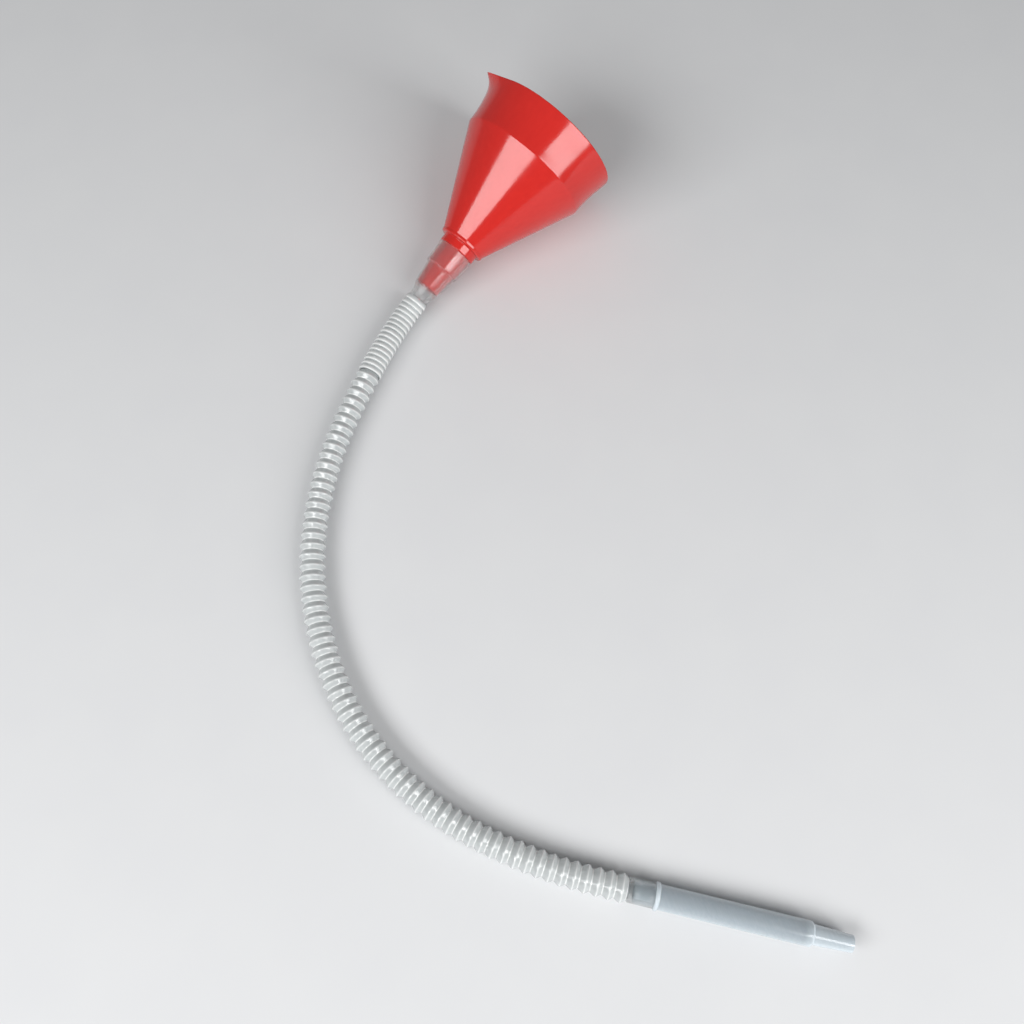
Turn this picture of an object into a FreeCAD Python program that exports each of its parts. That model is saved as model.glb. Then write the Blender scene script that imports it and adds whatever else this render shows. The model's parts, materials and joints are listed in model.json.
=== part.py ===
import FreeCAD, Part
import math
import os

# Funnel with a long bellows spout, lying on a flat surface. Millimetres, +Z up, surface at z = 0.
# The bowl's axis lies in a vertical plane along +X and rises towards the mouth. The origin is
# under the middle of the bowl, its strainer and the spout's socket.

# --- Bowl, measured along its axis from the bottom of the neck ring. The turn is in degrees ---
BOWL_WALL = 1.6
NECK_RADIUS = 17.1
NECK_HEIGHT = 7.2
FOOT_RADIUS = 21.6
FOOT_HEIGHT = 3.2
CONE_HEIGHT = 84.0
SHOULDER_RADIUS = 60.5
SHOULDER_ROUND = 5.0
WALL_HEIGHT = 14.5
WALL_FLARE = 0.6
LIP_RISE = 23.5
LIP_OVERHANG = 4.8
LIP_ROUND = 120.0
EAR_REACH = 9.1
EAR_TIP_ROUND = 2.5
EAR_TURN = 34.0

# --- Stem, a plug in two tapered stages, and the socket that fits over it ---
STEM_UPPER_LENGTH = 20.0
STEM_UPPER_RADIUS = 15.0
STEM_UPPER_TAPER = 0.6
STEM_LOWER_LENGTH = 21.0
STEM_LOWER_RADIUS = 12.9
STEM_LOWER_TAPER = 2.2
STEM_CLEARANCE = 0.09
SOCKET_WALL = 1.3
SOCKET_SEAT_GAP = 0.25
SOCKET_NECK_LENGTH = 13.0
SOCKET_NECK_BORE = 8.2
SOCKET_END_HEIGHT = 15.8

# --- Strainer, dropped on the ledge inside the foot of the cone ---
STRAINER_CLEARANCE = 0.4
STRAINER_HEIGHT = 2.6
GAUZE_THICKNESS = 0.3
GAUZE_LEVEL = 0.6
GAUZE_HOLD = 2.0
GROOVE_GAP = 0.03
SPOKE_COUNT = 3
SPOKE_WIDTH = 1.6
SPOKE_HEIGHT = 1.2
HUB_RADIUS = 3.0
GRIP_RADIUS = 1.8
GRIP_HEIGHT = 9.0

# --- Bellows hose ---
HOSE_RADIUS = 10.5
HOSE_WALL = 0.9
CLOSED_WALL = 1.55
CLOSED_PITCH = 4.9
FLANGE_THICKNESS = 1.2
FLANGE_STEP = 0.3
FLOOR_GAP = 0.1
RUN_SHARE = 0.45

# --- End cuff and nozzle ---
CUFF_LENGTH = 20.0
NOZZLE_RADIUS = 9.0
NOZZLE_WALL = 1.2
NOZZLE_LENGTH = 113.0
SPIGOT_LENGTH = 15.0
SPIGOT_CLEARANCE = 0.05
BEAD_HEIGHT = 1.2
BEAD_WIDTH = 3.2
TIP_LENGTH = 30.0
TIP_RADIUS = 7.3
TIP_TAPER = 1.2
TIP_STEP_LENGTH = 1.5

# --- Levels and radii that follow from the sizes above ---
LEDGE_LEVEL = NECK_HEIGHT + BOWL_WALL
FOOT_LEVEL = NECK_HEIGHT + FOOT_HEIGHT
SHOULDER_LEVEL = FOOT_LEVEL + CONE_HEIGHT
FLARE_LEVEL = SHOULDER_LEVEL + WALL_HEIGHT
LIP_LEVEL = FLARE_LEVEL + LIP_RISE
WALL_TOP_RADIUS = SHOULDER_RADIUS + WALL_FLARE
LIP_RADIUS = WALL_TOP_RADIUS + LIP_OVERHANG
EAR_APEX = LIP_RADIUS + EAR_REACH
STEM_LENGTH = STEM_UPPER_LENGTH + STEM_LOWER_LENGTH
SOCKET_LENGTH = STEM_LENGTH + SOCKET_NECK_LENGTH
FLANGE_RADIUS = HOSE_RADIUS - FLANGE_STEP
HOSE_LEVEL = HOSE_RADIUS + FLOOR_GAP

# Centre of the shoulder's round in the bowl's outline. The bowl lies on this round and is held
# at the height of its socket's end by the hose, which sets the tilt of its axis.
CONE_SLOPE = math.atan2(SHOULDER_RADIUS - FOOT_RADIUS, CONE_HEIGHT)
WALL_SLOPE = math.atan2(WALL_FLARE, WALL_HEIGHT)
ROUND_REACH = SHOULDER_ROUND * math.tan((CONE_SLOPE - WALL_SLOPE) / 2)
ROUND_RADIUS = (SHOULDER_RADIUS - ROUND_REACH * math.sin(CONE_SLOPE)
                - SHOULDER_ROUND * math.cos(CONE_SLOPE))
ROUND_LEVEL = (SHOULDER_LEVEL - ROUND_REACH * math.cos(CONE_SLOPE)
               + SHOULDER_ROUND * math.sin(CONE_SLOPE))
ROUND_FROM_END = ROUND_LEVEL + SOCKET_LENGTH
TILT = (math.acos((SOCKET_END_HEIGHT - SHOULDER_ROUND) / math.hypot(ROUND_RADIUS, ROUND_FROM_END))
        - math.atan2(ROUND_FROM_END, ROUND_RADIUS))
AXIS = FreeCAD.Vector(math.cos(TILT), 0, math.sin(TILT))
UP = FreeCAD.Vector(0, 0, 1)

# Route of the open hose, from the end of its closed bellows to its end cuff. It lies in three
# nodes: the first fixed to the closed bellows, the next bending, the last fixed to the cuff.
ROUTE_UPPER = [(-177, -16), (-210, -26.4), (-244, -40), (-275, -56), (-304, -75)]
ROUTE_BEND = [(-330, -97), (-353, -122), (-372, -149), (-388, -178)]
ROUTE_LOWER = [(-400, -209), (-407.5, -242), (-410, -276), (-408, -310), (-400.5, -345.5),
               (-388.8, -380.5), (-375, -413.5), (-358.5, -444.8)]
CLOSED_BEND = (-153.9, -8.72)


def vec(x, y, z=0.0):
    return FreeCAD.Vector(x, y, z)


def rounded_edges(points, radii, closed):
    """Straight runs between points, with a tangent arc at each corner that has a radius."""
    arcs = []
    count = len(points)
    for i, corner in enumerate(points):
        if radii[i] == 0 or (not closed and i in (0, count - 1)):
            arcs.append((corner, corner, corner))
            continue
        back = (points[i - 1] - corner).normalize()
        ahead = (points[(i + 1) % count] - corner).normalize()
        half_turn = (math.pi - back.getAngle(ahead)) / 2
        reach = radii[i] * math.tan(half_turn)
        dip = radii[i] * (1 / math.cos(half_turn) - 1)
        middle = (back + ahead).normalize()
        arcs.append((corner + back * reach, corner + middle * dip, corner + ahead * reach))
    edges = []
    for i, (start, middle, end) in enumerate(arcs):
        if (end - start).Length > 0:
            edges.append(Part.Arc(start, middle, end).toShape())
        if closed or i < count - 1:
            edges.append(Part.LineSegment(end, arcs[(i + 1) % count][0]).toShape())
    return edges


def turned(outline, radii=None):
    """Solid of revolution about Z from a closed outline of (radius, level) points."""
    points = [vec(r, 0, level) for r, level in outline]
    edges = rounded_edges(points, radii or [0] * len(points), True)
    return Part.Face(Part.Wire(edges)).revolve(vec(0, 0), UP, 360)


def inset(outline, radii, gap):
    """Open (radius, level) outline moved inwards by gap, with corner radii that keep the wall even."""
    moved = []
    new_radii = []
    normals = []
    for (r0, z0), (r1, z1) in zip(outline, outline[1:]):
        length = math.hypot(r1 - r0, z1 - z0)
        normals.append(((z0 - z1) / length, (r1 - r0) / length))
    for i, (r, z) in enumerate(outline):
        before = normals[max(i - 1, 0)]
        after = normals[min(i, len(normals) - 1)]
        share = gap / (1 + before[0] * after[0] + before[1] * after[1])
        moved.append((r + (before[0] + after[0]) * share, z + (before[1] + after[1]) * share))
        turn = before[0] * after[1] - before[1] * after[0]
        new_radii.append(max(radii[i] - math.copysign(gap, turn), 0) if radii[i] else 0)
    return moved, new_radii


def bowl_outline():
    """Outer line of the bowl from the stem's tip to the lip, with the radius of each corner."""
    stem_step = -STEM_UPPER_LENGTH
    corners = [
        (STEM_LOWER_RADIUS - STEM_LOWER_TAPER, -STEM_LENGTH, 0),
        (STEM_LOWER_RADIUS, stem_step, 0),
        (STEM_UPPER_RADIUS - STEM_UPPER_TAPER, stem_step, 0),
        (STEM_UPPER_RADIUS, 0, 0),
        (NECK_RADIUS, 0, 0),
        (NECK_RADIUS, NECK_HEIGHT, 0),
        (FOOT_RADIUS, NECK_HEIGHT, BOWL_WALL),
        (FOOT_RADIUS, FOOT_LEVEL, 0),
        (SHOULDER_RADIUS, SHOULDER_LEVEL, SHOULDER_ROUND),
        (WALL_TOP_RADIUS, FLARE_LEVEL, LIP_ROUND),
        (LIP_RADIUS, LIP_LEVEL, 0),
    ]
    return [corner[:2] for corner in corners], [corner[2] for corner in corners]


def ear_outline():
    """Corners of the lip's plan: lines from the ear's tip that touch the round lip."""
    spread = math.acos(LIP_RADIUS / EAR_APEX)
    reach = LIP_RADIUS * math.sin(spread)
    height = LIP_RADIUS * math.cos(spread)
    return vec(reach, height), vec(0, EAR_APEX), vec(-reach, height)


def ear():
    """Pointed tab that joins the lip, thick as the wall, turned up from the bowl's level side."""
    right, tip, left = ear_outline()
    edges = rounded_edges([right, tip, left], [0, EAR_TIP_ROUND, 0], True)
    tab = Part.Face(Part.Wire(edges)).extrude(UP * BOWL_WALL)
    tab.translate(UP * (LIP_LEVEL - BOWL_WALL))
    tab.rotate(vec(0, 0), UP, EAR_TURN)
    inside = Part.makeCylinder(LIP_RADIUS - BOWL_WALL, LIP_LEVEL)
    return tab.cut(inside)


def funnel_bowl():
    """Cone, upper wall, lip, ear, neck ring and stem, in one moulding with an even wall."""
    outer, outer_radii = bowl_outline()
    inner, inner_radii = inset(outer, outer_radii, BOWL_WALL)
    shell = turned(outer + inner[::-1], outer_radii + inner_radii[::-1])
    return shell.fuse(ear()).removeSplitter()


def spout_socket():
    """Two tapered stages over the stem, then a neck that ends in the hose's first root."""
    upper_top = -SOCKET_SEAT_GAP
    step = -STEM_UPPER_LENGTH - SOCKET_SEAT_GAP
    stem_end = -STEM_LENGTH - SOCKET_SEAT_GAP
    flange_top = -SOCKET_LENGTH + FLANGE_THICKNESS
    upper = STEM_UPPER_RADIUS + STEM_CLEARANCE
    lower = STEM_LOWER_RADIUS + STEM_CLEARANCE
    upper_end = upper - STEM_UPPER_TAPER
    lower_end = lower - STEM_LOWER_TAPER
    wall = SOCKET_WALL
    return turned([
        (upper, upper_top), (upper_end, step), (lower, step), (lower_end, stem_end),
        (SOCKET_NECK_BORE, flange_top), (SOCKET_NECK_BORE, -SOCKET_LENGTH),
        (FLANGE_RADIUS, -SOCKET_LENGTH), (FLANGE_RADIUS, flange_top),
        (SOCKET_NECK_BORE + wall, flange_top), (lower_end + wall, stem_end),
        (lower + wall, step - wall), (upper_end + wall, step - wall),
        (upper + wall, upper_top),
    ])


def strainer_radius():
    return FOOT_RADIUS - BOWL_WALL - STRAINER_CLEARANCE


def strainer_bore():
    return NECK_RADIUS - BOWL_WALL


def gauze_radius():
    return strainer_bore() + GAUZE_HOLD


def strainer_ring():
    """Ring with a groove for the gauze, three spokes and a grip at the hub."""
    ring = turned([
        (strainer_bore(), 0), (strainer_radius(), 0),
        (strainer_radius(), STRAINER_HEIGHT), (strainer_bore(), STRAINER_HEIGHT),
    ])
    groove = Part.makeCylinder(
        gauze_radius() + GROOVE_GAP,
        GAUZE_THICKNESS + 2 * GROOVE_GAP,
        vec(0, 0, GAUZE_LEVEL - GROOVE_GAP),
    )
    spoke_level = STRAINER_HEIGHT - SPOKE_HEIGHT
    hub = Part.makeCylinder(HUB_RADIUS, SPOKE_HEIGHT, vec(0, 0, spoke_level))
    grip = Part.makeCylinder(GRIP_RADIUS, GRIP_HEIGHT, vec(0, 0, spoke_level))
    knob = Part.makeSphere(HUB_RADIUS, vec(0, 0, spoke_level + GRIP_HEIGHT))
    pieces = [hub, grip, knob]
    for i in range(SPOKE_COUNT):
        corner = vec(0, -SPOKE_WIDTH / 2, spoke_level)
        spoke = Part.makeBox(strainer_bore() + GAUZE_HOLD, SPOKE_WIDTH, SPOKE_HEIGHT, corner)
        spoke.rotate(vec(0, 0), UP, i * 360 / SPOKE_COUNT)
        pieces.append(spoke)
    shape = ring.cut(groove).fuse(pieces).removeSplitter()
    shape.translate(UP * LEDGE_LEVEL)
    return shape


def strainer_gauze():
    return Part.makeCylinder(gauze_radius(), GAUZE_THICKNESS, vec(0, 0, LEDGE_LEVEL + GAUZE_LEVEL))


def neck_centre():
    """Bottom centre of the neck ring, placed so that the origin is under the middle."""
    front = LIP_LEVEL * math.cos(TILT) + LIP_RADIUS * math.sin(TILT)
    back = -SOCKET_LENGTH * math.cos(TILT) - FLANGE_RADIUS * math.sin(TILT)
    height = SOCKET_END_HEIGHT + SOCKET_LENGTH * math.sin(TILT)
    return vec(-(front + back) / 2, 0, height)


def seated(shape):
    """A piece made upright about Z, laid on the bowl's axis."""
    turn = FreeCAD.Rotation(vec(0, 1, 0), 90 - math.degrees(TILT))
    shape.Placement = FreeCAD.Placement(neck_centre(), turn) * shape.Placement
    return shape


def hose_points():
    """Route of the closed bellows, and the open hose's route in its three stretches."""
    socket_end = neck_centre() - AXIS * SOCKET_LENGTH
    lead = socket_end - AXIS * ((socket_end.z - HOSE_LEVEL) / AXIS.z)
    on_floor = [
        [vec(x, y, HOSE_LEVEL) for x, y in route]
        for route in (ROUTE_UPPER, ROUTE_BEND, ROUTE_LOWER)
    ]
    closed = [socket_end, lead, vec(CLOSED_BEND[0], CLOSED_BEND[1], HOSE_LEVEL), on_floor[0][0]]
    return closed, on_floor


def corner_radii(points):
    """The largest radius that each corner's two runs allow."""
    radii = [0]
    for before, corner, after in zip(points, points[1:], points[2:]):
        half_turn = (corner - before).getAngle(after - corner) / 2
        run = min((corner - before).Length, (after - corner).Length)
        radii.append(RUN_SHARE * run / math.tan(half_turn))
    return radii + [0]


def tube(edges, radius, wall):
    """Round tube along runs and arcs, checked against its section times its length."""
    path = Part.Wire(edges)
    start = edges[0].valueAt(edges[0].FirstParameter)
    heading = edges[0].tangentAt(edges[0].FirstParameter)
    solids = []
    for size in (radius, radius - wall):
        ring = Part.Wire(Part.makeCircle(size, start, heading))
        solids.append(path.makePipeShell([ring], True, False))
    shape = solids[0].cut(solids[1])
    section = math.pi * (radius ** 2 - (radius - wall) ** 2)
    print(f"  length {path.Length:.1f} volume ratio {shape.Volume / (section * path.Length):.4f}")
    return shape


def closed_tubes(points):
    """The closed bellows: a bending stretch, one convolution between, and a stretch that pulls open."""
    radii = corner_radii(points)
    print("closed bellows radii", [round(r) for r in radii[1:-1]])
    edges = rounded_edges(points, radii, False)
    run = edges[2]
    start = run.valueAt(run.FirstParameter)
    end = run.valueAt(run.LastParameter)
    half = (end - start).normalize() * (CLOSED_PITCH / 2)
    first = (start + end) / 2 - half
    second = (start + end) / 2 + half
    neck = edges[:2] + [Part.LineSegment(start, first).toShape()]
    middle = [Part.LineSegment(first, second).toShape()]
    stretch = [Part.LineSegment(second, end).toShape()] + edges[3:]
    print("bellows joints", [[round(v, 2) for v in p] for p in (points[1], first, second)])
    return {
        "neck_bellows": tube(neck, HOSE_RADIUS, CLOSED_WALL),
        "middle_bellows": tube(middle, HOSE_RADIUS, CLOSED_WALL),
        "stretch_bellows": tube(stretch, HOSE_RADIUS, CLOSED_WALL),
    }


def open_tubes(routes):
    """The open hose's three tubes. The route is rounded once and cut at the ends of its runs."""
    route = sum(routes, [])
    radii = corner_radii(route)
    print("open hose radii", [round(r) for r in radii[1:-1]])
    edges = rounded_edges(route, radii, False)
    # Each corner adds a run and an arc, so the run after corner i is edge 2 * i.
    first = 2 * (len(ROUTE_UPPER) - 1)
    second = first + 2 * len(ROUTE_BEND)
    return {
        "hose_upper": tube(edges[:first], HOSE_RADIUS, HOSE_WALL),
        "hose_bend": tube(edges[first:second + 1], HOSE_RADIUS, HOSE_WALL),
        "hose_lower": tube(edges[second + 1:], HOSE_RADIUS, HOSE_WALL),
    }


def nozzle_seat():
    """Placement of the cuff and nozzle, in line with the last run of the route."""
    start = vec(ROUTE_LOWER[-1][0], ROUTE_LOWER[-1][1], HOSE_LEVEL)
    before = vec(ROUTE_LOWER[-2][0], ROUTE_LOWER[-2][1], HOSE_LEVEL)
    return FreeCAD.Placement(start, FreeCAD.Rotation(UP, start - before))


def end_cuff():
    """Plain end of the hose, with the last root's wall at its start."""
    bore = NOZZLE_RADIUS - NOZZLE_WALL
    shape = turned([
        (bore, 0), (FLANGE_RADIUS, 0), (FLANGE_RADIUS, FLANGE_THICKNESS),
        (NOZZLE_RADIUS, FLANGE_THICKNESS), (NOZZLE_RADIUS, CUFF_LENGTH), (bore, CUFF_LENGTH),
    ])
    shape.Placement = nozzle_seat()
    return shape


def nozzle():
    """Smooth tube with a spigot, a bead against the cuff, and a smaller tapered tip."""
    spigot = NOZZLE_RADIUS - NOZZLE_WALL - SPIGOT_CLEARANCE
    bead = NOZZLE_RADIUS + BEAD_HEIGHT
    step = CUFF_LENGTH + NOZZLE_LENGTH
    end = step + TIP_LENGTH
    spigot_bore = spigot - NOZZLE_WALL
    bore = NOZZLE_RADIUS - NOZZLE_WALL
    tip_end = TIP_RADIUS - TIP_TAPER
    bead_top = CUFF_LENGTH + BEAD_WIDTH
    outline = [
        (spigot_bore, CUFF_LENGTH - SPIGOT_LENGTH), (spigot, CUFF_LENGTH - SPIGOT_LENGTH),
        (spigot, CUFF_LENGTH), (bead, CUFF_LENGTH), (bead, bead_top),
        (NOZZLE_RADIUS, bead_top), (NOZZLE_RADIUS, step),
        (TIP_RADIUS, step + TIP_STEP_LENGTH), (tip_end, end),
        (tip_end - NOZZLE_WALL, end), (TIP_RADIUS - NOZZLE_WALL, step + TIP_STEP_LENGTH),
        (bore, step - TIP_STEP_LENGTH), (bore, bead_top), (spigot_bore, CUFF_LENGTH),
    ]
    rounds = [0] * len(outline)
    rounds[3] = rounds[4] = BEAD_WIDTH / 3
    shape = turned(outline, rounds)
    shape.Placement = nozzle_seat()
    return shape


def main():
    os.makedirs("parts", exist_ok=True)
    parts = {
        "funnel_bowl": seated(funnel_bowl()),
        "strainer_ring": seated(strainer_ring()),
        "strainer_gauze": seated(strainer_gauze()),
        "spout_socket": seated(spout_socket()),
        "end_cuff": end_cuff(),
        "nozzle": nozzle(),
    }
    closed, open_routes = hose_points()
    parts.update(closed_tubes(closed))
    parts.update(open_tubes(open_routes))
    for name, shape in parts.items():
        print(name, len(shape.Solids), shape.isValid(), round(shape.Volume / 1000, 2))
        shape.exportStep(f"parts/{name}.step")


main()
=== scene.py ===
"""Looks of a funnel with a long bellows spout that lies on a pale floor.

The sizes below are in millimetres, and the studio's are in metres. The model itself is in metres,
+Z up.
"""

import json
import math

import bpy
import numpy as np
from bpy.props import FloatProperty, FloatVectorProperty, IntProperty, PointerProperty
from mathutils import Matrix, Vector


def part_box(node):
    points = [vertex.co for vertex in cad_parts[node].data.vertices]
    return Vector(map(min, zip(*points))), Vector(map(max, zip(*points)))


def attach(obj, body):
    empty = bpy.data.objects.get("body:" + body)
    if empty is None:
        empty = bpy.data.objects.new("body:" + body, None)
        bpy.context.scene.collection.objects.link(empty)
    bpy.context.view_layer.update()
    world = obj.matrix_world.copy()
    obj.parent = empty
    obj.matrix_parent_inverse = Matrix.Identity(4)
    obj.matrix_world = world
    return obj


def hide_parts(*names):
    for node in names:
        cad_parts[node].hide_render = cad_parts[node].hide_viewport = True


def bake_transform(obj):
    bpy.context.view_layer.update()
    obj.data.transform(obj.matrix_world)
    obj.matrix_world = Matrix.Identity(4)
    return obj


bl_info = {
    "name": "Bellows funnel",
    "version": (1, 0, 0),
    "blender": (4, 5, 0),
    "location": "3D View > Sidebar > Funnel",
    "description": "Builds the looks of a funnel with a bellows spout around its frame",
    "category": "Add Mesh",
}

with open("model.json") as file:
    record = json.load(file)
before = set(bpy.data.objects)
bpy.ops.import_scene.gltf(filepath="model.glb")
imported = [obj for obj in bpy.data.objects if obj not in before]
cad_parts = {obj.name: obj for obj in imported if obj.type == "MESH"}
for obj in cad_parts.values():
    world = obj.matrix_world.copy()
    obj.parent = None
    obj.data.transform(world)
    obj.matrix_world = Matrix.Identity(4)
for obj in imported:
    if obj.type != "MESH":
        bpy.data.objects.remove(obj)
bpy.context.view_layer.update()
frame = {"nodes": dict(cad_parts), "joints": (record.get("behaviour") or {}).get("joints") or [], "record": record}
JOINTS = {joint["name"]: joint for joint in frame["joints"]}
MOUNTS = {mount["name"]: mount for mount in frame["record"]["mounts"]}

MM = 0.001
FULL_TURN = 2 * math.pi
# A corner that turns less than this, in radians, is straight.
STRAIGHT = 1e-4
UP = np.array([0.0, 0.0, 1.0])

# --- Rounds that several pieces share ---
FINE_ROUND = 0.3
MOUTH_ROUND = 0.4
EDGE_ROUND = 0.5
STEP_ROUND = 0.8

# --- Bowl, levels along its axis from the bottom of the neck ring. A pair is (radius, level) ---
WALL = 1.6
STEM_END = -41.0
STEM_STEP = -20.0
# Each stage of the stem tapers between two radii, from its top down.
STEM_UPPER = (15.0, 14.4)
STEM_LOWER = (12.9, 10.7)
NECK = (17.1, 7.2)
FOOT = (21.6, 10.4)
SHOULDER = (60.5, 94.4)
WALL_TOP = (61.1, 108.9)
LIP = (65.9, 132.4)
NOTCH_ROUND = 0.2
FOOT_ROUND = 1.2
RIM_ROUND = 0.75
SHOULDER_ROUND = 5.0
LIP_ROUND = 120.0
# The ear is drawn out of the lip: how far its tip stands out, over what height, how soft the tip
# is, and its turn about the axis.
EAR_REACH = 9.1
EAR_FILLET = 13.0
EAR_TIP_SOFTNESS = math.radians(1.2)
EAR_TURN = math.radians(124)
BOWL_LONGEST_RUN = 3.0

# --- Socket, over the stem ---
SOCKET_GAP = 0.25
SOCKET_WALL = 1.2
SOCKET_CLEARANCE = 0.1
SOCKET_END = -54.0
# The collar's thickness and height.
SOCKET_COLLAR = (0.55, 2.4)
# The neck's radii at its top and bottom, and how far each is above the socket's end. The bore
# narrows to the bellows over its own rise.
SOCKET_NECK = (9.3, 8.9)
SOCKET_NECK_RISE = (6.0, 1.5)
SOCKET_BORE_RISE = 3.0
SOCKET_ROUND = 0.7
SOCKET_BORE_ROUND = 2.0
SOCKET_TAPER_ROUND = 2.5
SOCKET_NECK_ROUND = 3.0
SOCKET_LONGEST_RUN = 4.0

# --- Bellows ---
CREST = 10.5
OPEN_DEPTH = 2.5
CLOSED_DEPTH = 1.15
OPEN_WALL = 0.7
CLOSED_WALL = 1.0
CLOSED_COUNTS = (7, 1, 9)
OPEN_COUNT = 63
# One convolution, from root to root towards the nozzle. Each point is a share of the pitch, a
# share of the depth, and how milky the wall is there, because the sharp folds are whiter.
OPEN_FOLD = (
    (0.0, 0.0, 1.0), (0.03, 0.03, 0.92), (0.07, 0.11, 0.70), (0.13, 0.24, 0.66),
    (0.30, 0.58, 0.66), (0.43, 0.84, 0.68), (0.49, 0.94, 0.74), (0.54, 0.99, 0.84),
    (0.575, 1.0, 0.90), (0.61, 0.98, 0.84), (0.66, 0.88, 0.72), (0.74, 0.67, 0.68),
    (0.84, 0.39, 0.68), (0.91, 0.19, 0.72), (0.955, 0.07, 0.85), (0.98, 0.02, 0.95),
)
CLOSED_FOLD = (
    (0.0, 0.0, 0.6), (0.10, 0.22, 0.66), (0.32, 0.58, 0.72), (0.56, 0.82, 0.82),
    (0.74, 0.96, 0.95), (0.84, 1.0, 1.0), (0.91, 0.86, 0.9), (0.96, 0.40, 0.7),
)
# The hose's line: its height over the floor, and its places in plan.
HOSE_LEVEL = 10.6
ROUTE = (
    (-177, -16), (-210, -26.4), (-244, -40), (-275, -56), (-304, -75), (-330, -97),
    (-353, -122), (-372, -149), (-388, -178), (-400, -209), (-407.5, -242), (-410, -276),
    (-408, -310), (-400.5, -345.5), (-388.8, -380.5), (-375, -413.5), (-358.5, -444.8),
)
# Where the closed bellows bend towards the route.
CLOSED_BEND = (-153.9, -8.72)

# --- End cuff and nozzle, levels from the hose's last root ---
CUFF_LENGTH = 20.0
CUFF_RADIUS = 9.0
CUFF_FLARE = 1.6
NOZZLE_WALL = 1.2
NOZZLE_STEP = 133.0
NOZZLE_END = 163.0
SPIGOT_START = 5.0
SPIGOT_CLEARANCE = 0.05
# The bead's radius and width, and the tip's radii at its step and at its end.
BEAD = (10.2, 3.2)
TIP = (7.3, 6.1)
TIP_SHOULDER = 1.5
BEAD_ROUND = 1.2
TIP_ROUND = 0.6
TIP_MILK = 0.35
TUBE_LONGEST_RUN = 6.0

# --- Strainer. Its ledge is a level of the bowl, and the gauze's level is from the ledge ---
LEDGE = 8.8
GAUZE_LEVEL = 0.75
GAUZE_RADIUS = 17.4
GAUZE_PITCH = 1.1
GAUZE_WIRE = 0.13
# The wires' lift at a crossing, as a share of a wire's radius. A little over 1 keeps them apart.
GAUZE_LIFT = 1.05
GAUZE_STEPS = 4

# --- Studio, in metres and degrees ---
VIEW_AIM = (-0.190, -0.190, 0.0)
FLOOR_HALF = 4.0
SOFTBOX_DISTANCE = 2.2
# Each soft box's azimuth and elevation from the bowl, its lean, its width and its height.
SOFTBOXES = {
    "softbox_left": (180.0, 37.0, 0.0, 1.95, 0.85),
    "softbox_right": (-96.0, 31.5, 24.0, 0.80, 1.75),
}


def seat(origin, axis):
    """Turn and place of a piece made upright about Z: its Z goes along the axis, and its X stays
    in the vertical plane through the axis."""
    axis = np.asarray(axis, float) / np.linalg.norm(axis)
    side = np.cross(axis, UP)
    side = -side / np.linalg.norm(side)
    across = np.cross(side, axis)
    return np.stack([across, side, axis], axis=1), np.asarray(origin, float)


def bowl_seat():
    """The bowl's axis is the one that it slides along, and its mouth's centre is a mount."""
    axis = np.array(JOINTS["bowl_pull"]["axis"])
    mouth = np.array(MOUNTS["bowl_mouth"]["pos_m"])
    return seat(mouth - axis * LIP[1] * MM, axis)


def nozzle_seat():
    """The hose's last root, in line with the way that the nozzle slides."""
    return seat(
        (ROUTE[-1][0] * MM, ROUTE[-1][1] * MM, HOSE_LEVEL * MM),
        JOINTS["nozzle_pull"]["axis"],
    )


def rounded(corners, steps=5):
    """A closed outline of corners (radius, level, round), with each corner turned into an arc that
    touches both its runs. The arc's centre is on the corner's bisector, at the round divided by
    the cosine of half the turn, and its points are the centre plus the round times
    (sideways sin a - bisector cos a)."""
    points = []
    corners, rounds = np.split(np.asarray(corners, float), [2], axis=1)
    for corner, before, after, radius in zip(
        corners, np.roll(corners, 1, axis=0), np.roll(corners, -1, axis=0), rounds[:, 0]
    ):
        back = (before - corner) / np.linalg.norm(before - corner)
        ahead = (after - corner) / np.linalg.norm(after - corner)
        half_turn = (math.pi - math.acos(np.clip(back @ ahead, -1, 1))) / 2
        if radius == 0 or half_turn < STRAIGHT:
            points.append(corner[None, :])
            continue
        middle = (back + ahead) / np.linalg.norm(back + ahead)
        centre = corner + middle * radius / math.cos(half_turn)
        swing = np.linspace(-half_turn, half_turn, steps)[:, None]
        across = (ahead - back) / np.linalg.norm(ahead - back)
        points.append(centre + radius * (across * np.sin(swing) - middle * np.cos(swing)))
    return np.concatenate(points)


def filled(outline, longest):
    """The closed outline with each run longer than a length cut into equal parts."""
    pieces = []
    for start, end in zip(outline, np.roll(outline, -1, axis=0)):
        count = max(1, math.ceil(np.linalg.norm(end - start) / longest))
        pieces.append(start + (end - start) * np.arange(count)[:, None] / count)
    return np.concatenate(pieces)


def inset(corners, gap):
    """An open outline moved sideways by the gap, each corner along the bisector of its runs."""
    corners = np.asarray(corners, float)
    run = np.diff(corners, axis=0)
    run /= np.linalg.norm(run, axis=1)[:, None]
    normal = np.stack([-run[:, 1], run[:, 0]], axis=1)
    before = np.concatenate([normal[:1], normal])
    after = np.concatenate([normal, normal[-1:]])
    return corners + (before + after) * gap / (1 + np.sum(before * after, axis=1))[:, None]


def smooth_object(name, points, faces, material):
    """An object at the origin with a smooth-shaded mesh."""
    mesh = bpy.data.meshes.new(name)
    mesh.from_pydata(points, [], faces)
    mesh.polygons.foreach_set("use_smooth", np.ones(len(mesh.polygons), bool))
    mesh.materials.append(material)
    mesh.update()
    made = bpy.data.objects.new(name, mesh)
    bpy.context.scene.collection.objects.link(made)
    return made


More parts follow.
